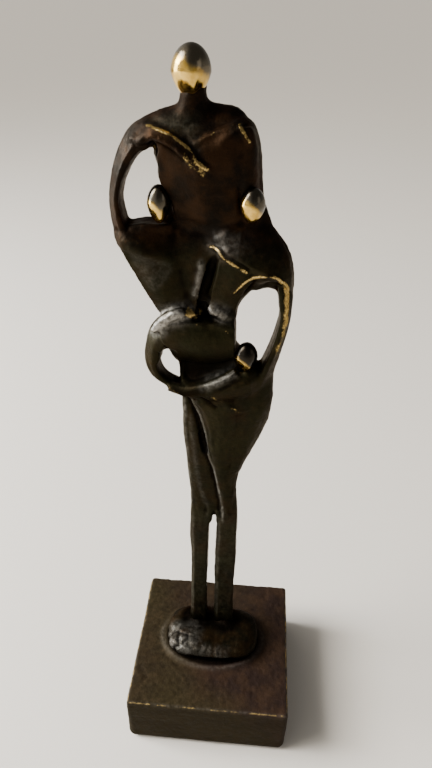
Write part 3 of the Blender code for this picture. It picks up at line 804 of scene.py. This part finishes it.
def sculpt_children(skin):
    left_hollow = [(-23.4, 161.6), (-20.0, 160.0), (-16.4, 158.4), (-12.8, 156.6), (-11.8, 160.0),
                   (-14.0, 162.4), (-19.0, 162.8)]
    skin.region(left_hollow, -0.7, 2.6)
    # A facet at the top left of the child's robe, painted a little paler as a highlight
    highlight_facet = [(-22.4, 157.0), (-14.6, 155.4), (-12.4, 152.4), (-16.6, 147.4), (-20.0, 150.0)]
    skin.mark("braze", 0.05 * skin.region(highlight_facet, 0.0, 1.6))
    skin.stroke(LEFT_CHILD_LAPEL, 0.9, 0.3)
    skin.stroke([(-11.6, 154.4), (-10.6, 149.6), (-10.4, 144.8)], 1.8, -0.12)
    skin.stroke([(-19.4, 157.6), (-17.4, 151.0), (-15.0, 143.6)], 1.6, 0.22)
    x, y, z = skin.co.T
    shoulder = smoothstep(7.5, 4.0, np.hypot(x - 1.0, z - 160.4)) * smoothstep(5.0, 3.0, y)
    pocket = smoothstep(4.6, 2.4, np.hypot(x + 12.4, z - 156.2)) * smoothstep(6.0, 4.0, y)
    skin.relax(24, where=np.maximum(shoulder, pocket))
    skin.push(0.12 * shoulder * rough(skin.co, 1.6, 27))
    # Pale grey painted highlight on the top of the child's rough shoulder
    cap = skin.near([(-2.8, 159.0), (0.2, 159.8), (3.2, 159.6)], 2.4)
    skin.mark("braze", 0.24 * cap * (0.8 + 0.4 * noise(skin.co, 1.8, 28)))
    right_hollow = [(-1.4, 160.4), (0.6, 158.0), (3.6, 156.4), (6.4, 154.8), (10.4, 155.6),
                    (11.4, 158.8), (7.6, 161.6), (2.6, 162.4)]
    skin.region(right_hollow, -0.6, 3.2)
    skin.stroke(shifted(RIGHT_CHILD_LAPEL, 0.4, 0.9), 0.6, -0.4)
    skin.stroke(RIGHT_CHILD_LAPEL, 0.42, 0.5, wear=0.85, wear_width=1.0)
    skin.stroke(CENTRE_GROOVE, 0.9, -0.5)
    skin.relax(5, where=skin.near(CENTRE_GROOVE, 2.0))
    skin.stroke(FOLD_RIDGE, 0.5, 0.45)
    # Pale grey painted highlight along the fold's ridge
    skin.mark("braze", 0.3 * skin.near(FOLD_RIDGE, 0.7))
    skin.stroke(PANEL_EDGE, 0.45, 0.3, wear=0.3)
    skin.stroke(HOLE_RIM, 0.42, 0.5, wear=0.95, wear_width=1.0)
    skin.stroke(ARM_BAND[:4], 1.0, 0.1, wear=0.82, wear_width=0.9)
    skin.stroke(ARM_BAND, 1.25, 0.1, wear=0.56, wear_width=0.9)


def sculpt_waist(skin):
    skin.stroke(LOWER_RIM, 0.6, 0.3, wear=0.15)
    dark_hollow = [(-6.8, 145.4), (-5.2, 144.6), (-3.8, 142.0), (-3.4, 139.6), (-5.6, 139.8),
                   (-7.2, 142.2)]
    skin.region(dark_hollow, -0.5, 2.0)
    for path, width, strength in ((LEFT_SOLDER, 1.9, 1.1), (RIGHT_SOLDER, 1.6, 0.55)):
        share = skin.near([(x, z) for x, _, z, _ in path], width)
        skin.push(0.5 * share * rough(skin.co, 1.2, 23))
        skin.mark("braze", strength * share * (0.85 + 0.5 * noise(skin.co, 1.4, 5)))
    # Pale grey painted highlight along the lap's rough ridge
    share = skin.near(LAP_RIDGE, 1.1)
    skin.push(0.3 * share * rough(skin.co, 1.0, 29))
    skin.mark("braze", 0.32 * share * (0.85 + 0.5 * noise(skin.co, 1.2, 6)))
    # Painted shade over the left part of the forearm's top
    skin.mark("hollow", 0.9 * skin.near([(-12.6, 119.2), (-8.4, 120.0), (-4.2, 121.8)], 1.9))
    skin.stroke([(-9.6, 142.4), (-7.6, 141.2), (-5.8, 139.9)], 0.8, 0.3, wear=0.75)
    skin.stroke([(-7.5, 140.6), (-7.1, 140.2)], 0.45, -0.5)


def sculpt_lower(skin):
    skin.stroke(ARM_HEM, 0.4, 0.3, wear=0.4)
    lap_shadow = [(-11.6, 127.4), (-6.0, 127.2), (-0.5, 128.4), (3.0, 129.6), (3.2, 127.6),
                  (0.0, 125.6), (-4.0, 123.4), (-9.0, 121.8), (-11.4, 123.4)]
    skin.mark("hollow", 1.2 * skin.region(lap_shadow, -1.4, 1.6))
    x, _, z = skin.co.T
    # Painted shade on the belly, darker towards its bottom
    belly = smoothstep(-13.5, -11.5, x) * smoothstep(4.6, 3.0, x) * smoothstep(122, 125, z)
    skin.mark("hollow", 0.85 * belly * smoothstep(135.5, 128.0, z) * skin.facing())
    hip = smoothstep(7.5, 9.5, x) * smoothstep(127, 124, z) * smoothstep(108, 113, z)
    skin.relax(12, where=hip)
    skin.stroke(shifted(WRAP_EDGE, -0.7, -0.3), 0.6, -0.5)
    skin.stroke([(-7.8, 113.6), (-6.2, 108.6), (-5.0, 102.4), (-4.2, 97.0)], 0.7, -0.6)
    # Ridges along the wrap edge, the under panel's edge and a streak, each with a pale grey painted
    # highlight
    for path, width, height, highlight_width, strength, seed in (
        (WRAP_EDGE, 0.32, 0.42, 0.3, 0.6, 8),
        (UNDER_EDGE, 0.5, 0.35, 0.45, 0.28, 8),
        (UNDER_STREAK, 0.6, 0.2, 0.6, 0.12, 10),
    ):
        skin.stroke(path, width, height)
        broken = 0.8 + 0.6 * noise(skin.co, 2.5, seed)
        skin.mark("braze", strength * skin.near(path, highlight_width) * broken)
    skin.stroke([(-5.4, 104.2), (-4.9, 100.4), (-4.1, 96.4)], 0.55, -0.8)
    skin.stroke([(-5.6, 118.8), (-3.4, 117.2), (-1.0, 115.4)], 0.5, -0.55)
    skin.stroke([(-3.6, 120.2), (0.6, 117.4), (5.8, 113.4)], 0.8, 0.25, wear=0.42)
    skin.stroke([(2.6, 116.4), (5.4, 114.6), (7.8, 115.0)], 0.4, 0.15, wear=0.5)
    skin.stroke([(0.3, 138.4), (1.8, 137.0), (2.9, 134.8)], 0.5, 0.15, wear=0.6)
    skin.stroke([(11.0, 116.0), (8.4, 104.0), (5.4, 91.0), (4.4, 80.0)], 1.8, 0.35)
    skin.stroke([(5.4, 114.0), (3.6, 103.0), (2.4, 92.0)], 1.6, -0.35)


def sculpt_back(skin):
    """Long soft folds down the back."""
    folds = [
        ([(-11.0, 184.0), (-9.4, 168.0), (-8.2, 150.0), (-7.6, 140.0)], 2.0, -0.5),
        ([(-4.6, 186.0), (-4.6, 168.0), (-5.0, 150.0), (-5.0, 138.0)], 2.2, 0.45),
        ([(1.0, 184.0), (0.6, 168.0), (-1.4, 152.0), (-2.2, 142.0)], 1.7, -0.45),
        ([(-22.6, 159.6), (-19.0, 151.0), (-14.6, 142.0)], 1.8, 0.35),
        ([(12.6, 158.0), (9.0, 152.0), (3.6, 144.0)], 1.8, 0.35),
        ([(-9.0, 137.0), (-6.0, 126.0), (-3.0, 112.0), (-1.4, 96.0)], 2.0, -0.4),
        ([(-1.0, 137.0), (1.6, 124.0), (2.8, 108.0), (2.6, 90.0)], 2.0, 0.4),
        ([(7.6, 120.0), (7.0, 108.0), (4.8, 94.0)], 1.6, -0.35),
    ]
    for path, width, height in folds:
        skin.stroke(path, width, height, forward=False)


def sculpt_surface(skin):
    """The uneven skin of a lost-wax casting: hand-worked planes, ripples and grain."""
    skin.push(0.16 * rough(skin.co, 7.0, 3))
    drawn = skin.co * (1.0, 1.0, 0.25)
    robe = smoothstep(124, 112, skin.co[:, 2])
    skin.push(0.22 * robe * rough(drawn, 1.6, 31))
    skin.mark("hollow", 0.5 * robe * smoothstep(0.0, 0.8, rough(drawn, 1.5, 33)))
    skin.push(0.08 * rough(skin.co, 1.6, 7))


def colour_figure(skin):
    z = skin.co[:, 2]
    drawn = skin.co * (1.0, 1.0, 0.2)
    skin.read_hollows()
    skin.mark("olive", smoothstep(162, 154, z) * (0.75 + 0.35 * noise(skin.co, 6.0, 41)))
    # Painted shade at the bottoms of the legs, where they meet the mound
    skin.mark("hollow", smoothstep(30.0, 24.0, z))
    # Pale grey painted sheen on the legs, more on their left-facing faces, and on the left arm's
    # left-facing faces
    legs = smoothstep(76.0, 70.0, z) * smoothstep(26.0, 32.0, z)
    bevel = smoothstep(0.15, 0.6, -skin.normals()[:, 0])
    skin.mark("braze", legs * (0.018 + 0.05 * bevel) * (1 + 0.25 * noise(drawn, 1.6, 43)))
    left_arm = smoothstep(-18.0, -21.0, skin.co[:, 0]) * smoothstep(161.0, 167.0, z)
    skin.mark("braze", 0.05 * left_arm * bevel)
    skin.mark("wear", 0.3 * smoothstep(0.08, 0.3, skin.bulge))


def make_figure(material):
    skin = Skin(make_figure_form(), voxel=0.42)
    skin.smooth(3)
    skin.push(-JOINT_CLOSING)
    sculpt_parent(skin)
    sculpt_children(skin)
    sculpt_waist(skin)
    sculpt_lower(skin)
    sculpt_back(skin)
    skin.grab((11.2, 148.2), 4.4, (0.2, 1.7))
    skin.grab((-15.7, 132.2), 2.6, (0.6, -1.1))
    skin.grab((-16.8, 128.6), 2.6, (0.8, 0.0))
    skin.grab((-12.9, 130.2), 2.0, (0.6, 0.2))
    x, y, z = skin.co.T
    skin.relax(6, where=smoothstep(73, 75, z) * smoothstep(84, 80, z))
    robe_back = smoothstep(72, 76, z) * smoothstep(98, 92, z) * smoothstep(6.0, 7.2, y)
    skin.relax(30, where=robe_back)
    skin.grab((-2.7, 68.8), 1.5, (0.45, 0.0))
    skin.grab((-0.7, 68.8), 1.5, (-0.35, 0.0))
    robe_left = smoothstep(-5.5, -8.5, x) * smoothstep(52, 64, z) * smoothstep(112, 104, z)
    skin.co[:, 0] -= 0.45 * robe_left
    skin.smooth(1)
    sculpt_surface(skin)
    colour_figure(skin)
    return skin.finish("cast_figure", material, FIGURE_NODES)


# ----- The foot mound and the block -----


FEET = [(-5.6, 5.0), (3.1, 5.0)]  # where the legs stand on the mound, as (x, y)
BETWEEN_FEET = -1.1  # x
MOUND_SHIFT = 0.15
MOUND_WIDENING = 1.065
MOUND_SHORTENING = 0.97
MOUND_FRONT = -10.0  # the y that the shortening keeps

# Cracks in the mound's skin, seen from above as (x, y), and its facets that are raised and painted
# bright as highlights: (x, y, reach)
MOUND_CRACKS = [
    [(-15.4, -3.4), (-14.2, -2.4), (-12.3, -1.3), (-10.6, -2.2), (-8.4, -2.8)],
    [(-11.5, -2.0), (-11.3, -4.4), (-10.8, -6.8)],
    [(-8.2, -3.0), (-8.3, -4.6), (-9.7, -6.0)],
    [(-15.2, -6.6), (-14.0, -7.6), (-12.4, -6.9), (-11.0, -7.0)],
]
BRIGHT_FACETS = [(-13.6, -5.2, 1.6), (-9.8, -4.0, 1.5), (-12.4, 0.8, 1.8), (-9.2, -8.2, 2.1),
                 (-6.2, -5.4, 1.4)]


def crumple(skin, area):
    """Soft lumps, raised facets with painted highlights and a few thin cracks, like pressed foil,
    over an area.
    """
    skin.push(0.24 * area * rough(skin.co, 3.0, 13, layers=2))
    bright = np.zeros(len(skin.co))
    for x, y, reach in BRIGHT_FACETS:
        gap = np.hypot(*(skin.co[:, :2] - (x, y)).T)
        bright = np.maximum(bright, smoothstep(1.5 * reach, 0.5 * reach, gap))
    skin.push(0.26 * area * bright)
    for path in MOUND_CRACKS:
        gap, _ = measure(skin.co[:, :2], spline(path))
        crack = area * np.exp(-((gap / 0.40) ** 2))
        skin.push(-0.36 * crack)
        skin.mark("hollow", 0.8 * crack)
    # Pale grey painted sheen over the area, stronger as a painted highlight on the facets
    shine = 0.10 + 0.17 * bright
    skin.mark("braze", area * shine * (0.9 + 0.4 * noise(skin.co, 1.4, 15)))


def make_mound(material):
    bm = bmesh.new()
    add_node(bm, "foot_mound", grow=0.0)
    low, high = (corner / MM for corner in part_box("foot_mound"))
    for x, y in FEET:
        add_rope(bm, [(x, y, low.z + 2.0, 4.8), (x, y, high.z - 0.8, 3.8),
                      (x, y, high.z + 0.3, 2.6), (x, y, high.z + 1.2, 1.4)])
    skin = Skin(bm, voxel=0.36)
    skin.smooth(4)
    bottom = low.z
    x, y, z = skin.co.T
    x[:] = MOUND_SHIFT + (x - BETWEEN_FEET) * MOUND_WIDENING + BETWEEN_FEET
    y[:] = (y - MOUND_FRONT) * MOUND_SHORTENING + MOUND_FRONT
    feet = smoothstep(11.0, 8.5, np.hypot(x - BETWEEN_FEET, y - 5.0))
    skin.relax(40, where=feet * smoothstep(high.z - 4, high.z - 2, z))
    skin.push(-1.7 * smoothstep(bottom + 2.8, bottom + 0.8, z) * smoothstep(4.0, -4.0, y))
    skin.push(0.4 * rough(skin.co, 5.5, 17) * smoothstep(bottom, bottom + 1.5, z))
    left = smoothstep(-2.0, -6.0, x) * smoothstep(4.0, 0.0, y)
    crumple(skin, left * smoothstep(bottom + 0.6, bottom + 2.0, z))
    ribs = skin.co * (1.0, 0.25, 0.25)
    right = smoothstep(-3.0, 1.0, x) * smoothstep(2.0, -3.0, y)
    skin.push(0.16 * right * rough(ribs, 1.8, 19))
    skin.push(0.06 * rough(skin.co, 1.2, 9))
    skin.read_hollows()
    skin.mark("olive", np.full(len(x), 0.35))
    # Painted shade on the mound round the feet
    for foot in FEET:
        skin.mark("hollow", 1.1 * smoothstep(7.6, 3.6, np.hypot(*(skin.co[:, :2] - foot).T)))
    skin.mark("wear", 0.3 * smoothstep(0.08, 0.3, skin.bulge))
    # The front: pale grey streaks as painted highlights, and worn brass
    front = smoothstep(-4.5, -8.0, y) * smoothstep(-6.0, -3.0, x) * smoothstep(7.0, 3.0, x)
    skin.mark("braze", 0.10 * front * (1 + noise(ribs, 0.9, 21)))
    skin.mark("wear", 0.30 * front)
    return skin.finish("foot_casting", material, ["foot_mound"])


def round_box(co, half, low, high, radius_low, radius_high):
    """Round the edges of a square block: the lower ones more than the upper ones."""
    share = smoothstep(low + 1.0, high - 1.0, co[:, 2])
    radius = radius_low + (radius_high - radius_low) * share
    limit = np.stack([half - radius, half - radius, co[:, 2]], axis=1)
    core = np.clip(co, -limit, limit)
    core[:, 2] = np.clip(co[:, 2], low + radius, high - radius)
    away = co - core
    far = np.linalg.norm(away, axis=1)
    outside = (far > radius) & ((abs(away) > 1e-6).sum(axis=1) > 1)
    co[outside] = core[outside] + away[outside] * (radius / np.maximum(far, 1e-9))[outside, None]


BLOCK_GROWTH = 1.012
BLOCK_TOP = 19.0  # the flat top, below the lip round the mound
FELT_RIM = 0.7  # how far the block's edge reaches down round the felt
LIP_RADIUS = 17.2


def make_block(material):
    bm = bmesh.new()
    add_node(bm, "base_block", grow=0.0)
    skin = Skin(bm, voxel=0.44)
    skin.smooth(1)
    low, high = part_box("base_block")
    half = high.x / MM * BLOCK_GROWTH
    top = BLOCK_TOP
    bottom = low.z / MM
    skin.co[:, :2] *= BLOCK_GROWTH
    round_box(skin.co, half, bottom, top, radius_low=2.2, radius_high=0.9)
    x, y, z = skin.co.T
    wall = np.maximum(abs(x), abs(y))
    z -= FELT_RIM * smoothstep(half - 2.3, half - 1.9, wall) * smoothstep(7.0, bottom, z)
    outer = smoothstep(half - 6.0, half - 2.0, wall) * smoothstep(bottom, bottom + 1.0, z)
    skin.push(0.10 * outer * rough(skin.co, 9.0, 51))
    edge_gap = np.hypot(half - wall, top - z)
    dents = np.clip(noise(skin.co, 2.6, 61) - 0.25, 0, 1)
    dents += 0.6 * np.clip(noise(skin.co, 1.1, 63) - 0.3, 0, 1)
    skin.push(-0.55 * dents * np.exp(-((edge_gap / 0.9) ** 2)))
    upper = smoothstep(top - 1.0, top - 0.2, z)
    skin.push(0.07 * upper * rough(skin.co, 2.2, 55))
    skin.push((0.05 + 0.04 * upper) * noise(skin.co, 1.0, 57) * smoothstep(bottom, bottom + 1.0, z))
    lip = np.hypot(x + 0.4, (y - 1.6) * 1.35)
    skin.relax(14, where=smoothstep(19.5, 17.5, lip) * smoothstep(13.5, 15.0, lip) * upper)
    ring = np.exp(-(((lip - LIP_RADIUS) / 0.8) ** 2)) * upper * smoothstep(8.0, 2.0, y)
    skin.push(0.30 * ring * (1 + 0.3 * noise(skin.co, 3.0, 53)))
    skin.read_hollows()
    broken = smoothstep(-0.85, 0.1, rough(skin.co, 2.3, 65))
    skin.marks["hollow"] *= smoothstep(19.0, 20.5, lip) * upper
    # Painted shade in the groove round the foot of the mound
    skin.mark("hollow", 0.9 * smoothstep(16.6, 15.4, lip) * upper)
    skin.mark("braze", 0.07 * ring)
    side = smoothstep(top - 0.6, top - 1.6, z)
    skin.mark("olive", 0.4 + 0.6 * noise(skin.co, 14.0, 67) - 0.025 * x + 0.6 * side)
    # Painted shade on the block's sides, darker than its top
    skin.mark("hollow", 0.36 * side * (1 + 0.3 * rough(skin.co * (0.3, 0.3, 1.0), 2.0, 69)))
    arris = np.exp(-((edge_gap / 0.49) ** 2))
    skin.mark("wear", 1.1 * broken * arris)
    # A pale grey painted highlight along the top edges
    skin.mark("braze", 0.16 * arris)
    post = np.hypot(half - abs(x), half - abs(y))
    skin.mark("wear", 0.6 * broken * np.exp(-((post / 0.6) ** 2)))
    return skin.finish("block_casting", material, ["base_block"])


# ----- The heads and the felt -----


def make_head(name, node, planes, material):
    """An egg with soft flats rubbed on it. Each plane is (direction, share of the radius)."""
    centre, half = middle_of(node), half_size_of(node)
    bm = bmesh.new()
    bmesh.ops.create_icosphere(bm, subdivisions=5, radius=1.0)
    flats = [(Vector(way).normalized(), reach) for way, reach in planes]
    softness = 11.0
    fullness = 1.06
    for vert in bm.verts:
        way = vert.co.normalized()
        total = 1.0
        for flat, reach in flats:
            facing = way.dot(flat)
            if facing > 0.2:
                total += (facing / reach) ** softness
        radius = total ** (-1 / softness)
        narrow = 1.0 + 0.24 * min(way.z, 0.0) - 0.03 * max(way.z, 0.0)
        vert.co = Vector((
            centre[0] + radius * narrow * half[0] * way.x * fullness,
            centre[1] + radius * narrow * half[1] * way.y * fullness,
            centre[2] + radius * half[2] * way.z,
        )) * MM
    return add_piece(name, make_mesh(name, bm), material, [node])


def make_heads():
    planes = [((-0.40, -0.80, -0.45), 0.92), ((0.80, -0.55, -0.20), 0.93)]
    silver, grey, black = (0.15, 0.128, 0.092), (0.085, 0.074, 0.056), (0.022, 0.019, 0.015)
    parent_dark = (0.45, 0.10, 1.0)  # the dark side: crown, right and back, tarnish with a painted dark reflection
    child_dark = (0.55, 0.25, 1.0)
    for who, dark, start, tarnish_and_reflection in (
        ("parent", parent_dark, 0.04, silver),
        ("left_child", child_dark, -0.42, grey),
        ("right_child", child_dark, -0.22, grey),
        ("lower_child", child_dark, -0.62, black),
    ):
        node = f"{who}_head"
        centre, half = middle_of(node), half_size_of(node)
        material = make_polished(f"{who}_brass", centre, half, dark, start, tarnish_and_reflection)
        make_head(f"{who}_polished_head", node, planes, material)


def make_felt_pad(material):
    _, high = (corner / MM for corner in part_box("felt_pad"))
    bm = bmesh.new()
    add_node(bm, "felt_pad", grow=0.0)
    skin = Skin(bm, voxel=0.3)
    skin.smooth(2)
    x, y, z = skin.co.T
    edge = high.x - np.maximum(abs(x), abs(y))
    skin.push(0.10 * rough(skin.co, 0.9, 71) * smoothstep(1.0, 0.0, edge))
    z[:] = np.clip(z, 0.0, high.z)
    return skin.finish("felt_underpad", material, ["felt_pad"])


# ----- The stage -----


def make_stage():
    bm = bmesh.new()
    bmesh.ops.create_grid(bm, x_segments=2, y_segments=2, size=30.0)
    floor = add_object("floor", make_mesh("floor", bm))
    g = Graph("floor")
    g.set(base_color=(0.84, 0.80, 0.74, 1.0), roughness=0.65)
    floor.data.materials.append(g.material)


def make_camera():
    """The view from above and in front, about 150 mm from the parent's head."""
    place = (0.0077, -0.1407, 0.20975)
    yaw, pitch, roll = (math.radians(a) for a in (-3.73, 31.77, 1.59))
    flat = math.cos(pitch)
    ahead = Vector((math.sin(yaw) * flat, math.cos(yaw) * flat, -math.sin(pitch)))
    level = Vector((math.cos(yaw), -math.sin(yaw), 0.0))
    raised = level.cross(ahead)
    right = math.cos(roll) * level + math.sin(roll) * raised
    up = -math.sin(roll) * level + math.cos(roll) * raised
    data = bpy.data.cameras.new("camera")
    camera = add_object("camera", data)
    turn = Matrix((right, up, -ahead)).transposed().to_4x4()
    camera.matrix_world = Matrix.Translation(place) @ turn
    data.sensor_fit = "VERTICAL"
    data.sensor_width = data.sensor_height = 36.0
    data.lens = 30.0
    data.clip_start = 0.001
    bpy.context.scene.camera = camera


def add_light(name, place, target, size, power, colour):
    data = bpy.data.lights.new(name, "AREA")
    data.shape = "RECTANGLE"
    data.size, data.size_y = size
    data.energy = power
    data.color = colour
    light = add_object(name, data)
    light.location = place
    light.rotation_euler = (Vector(target) - Vector(place)).to_track_quat("-Z", "Y").to_euler()


def make_lights():
    world = bpy.data.worlds.new("studio")
    world.use_nodes = True
    tree = world.node_tree
    split = tree.nodes.new("ShaderNodeSeparateXYZ")
    tree.links.new(tree.nodes.new("ShaderNodeTexCoord").outputs["Generated"], split.inputs[0])
    strength = None
    for axis, low, high, start, end in (("Z", 0.0, 0.6, 0.40, 0.14), ("X", 0.0, -0.9, 0.0, 1.0)):
        lobe = tree.nodes.new("ShaderNodeMapRange")
        lobe.interpolation_type = "SMOOTHSTEP"
        tree.links.new(split.outputs[axis], lobe.inputs["Value"])
        limits = {"From Min": low, "From Max": high, "To Min": start, "To Max": end}
        for name, value in limits.items():
            lobe.inputs[name].default_value = value
        if strength is None:
            strength = lobe.outputs["Result"]
        else:
            add = tree.nodes.new("ShaderNodeMath")
            tree.links.new(strength, add.inputs[0])
            tree.links.new(lobe.outputs["Result"], add.inputs[1])
            strength = add.outputs["Value"]
    background = tree.nodes["Background"]
    background.inputs["Color"].default_value = (0.95, 0.91, 0.84, 1.0)
    tree.links.new(strength, background.inputs["Strength"])
    bpy.context.scene.world = world
    sun = bpy.data.lights.new("overhead", "SUN")
    sun.energy = 2.6
    sun.angle = 0.6
    sun.color = (1.0, 0.93, 0.82)
    overhead = add_object("overhead", sun)
    overhead.rotation_euler = Vector((0.80, 0.15, -0.70)).to_track_quat("-Z", "Y").to_euler()
    add_light("key", (-0.60, -0.02, 0.54), (0, 0, 0.12), (0.42, 0.42), 8.0, (1.0, 0.97, 0.92))
    add_light("left", (-0.70, 0.00, 0.25), (0, 0, 0.12), (0.30, 0.60), 8.0, (0.92, 0.96, 1.0))
    add_light("right", (0.80, -0.30, 0.45), (0, 0, 0.12), (0.40, 0.50), 0.4, (1.0, 0.93, 0.85))


bronze = make_patina(
    "dark_bronze_patina", (0.018, 0.0085, 0.0037), (0.005, 0.0035, 0.0024), (0.0165, 0.0162, 0.0064)
)
block_bronze = make_patina(
    "block_patina", (0.029, 0.0165, 0.0105), (0.018, 0.0108, 0.0088), (0.032, 0.0255, 0.0115),
    wear_level=0.52, grit=0.16, metal=0.15, satin=0.50,
)
steel = make_steel("zinc_plated_steel")
felt = make_felt_material("black_felt_nap")
make_figure(bronze)
make_mound(bronze)
make_block(block_bronze)
make_heads()
make_felt_pad(felt)
for node in ("mounting_stud", "stud_washer", "stud_nut"):
    for entry in frame["nodes"][node].material_slots:
        entry.material = steel
make_stage()
make_camera()
make_lights()
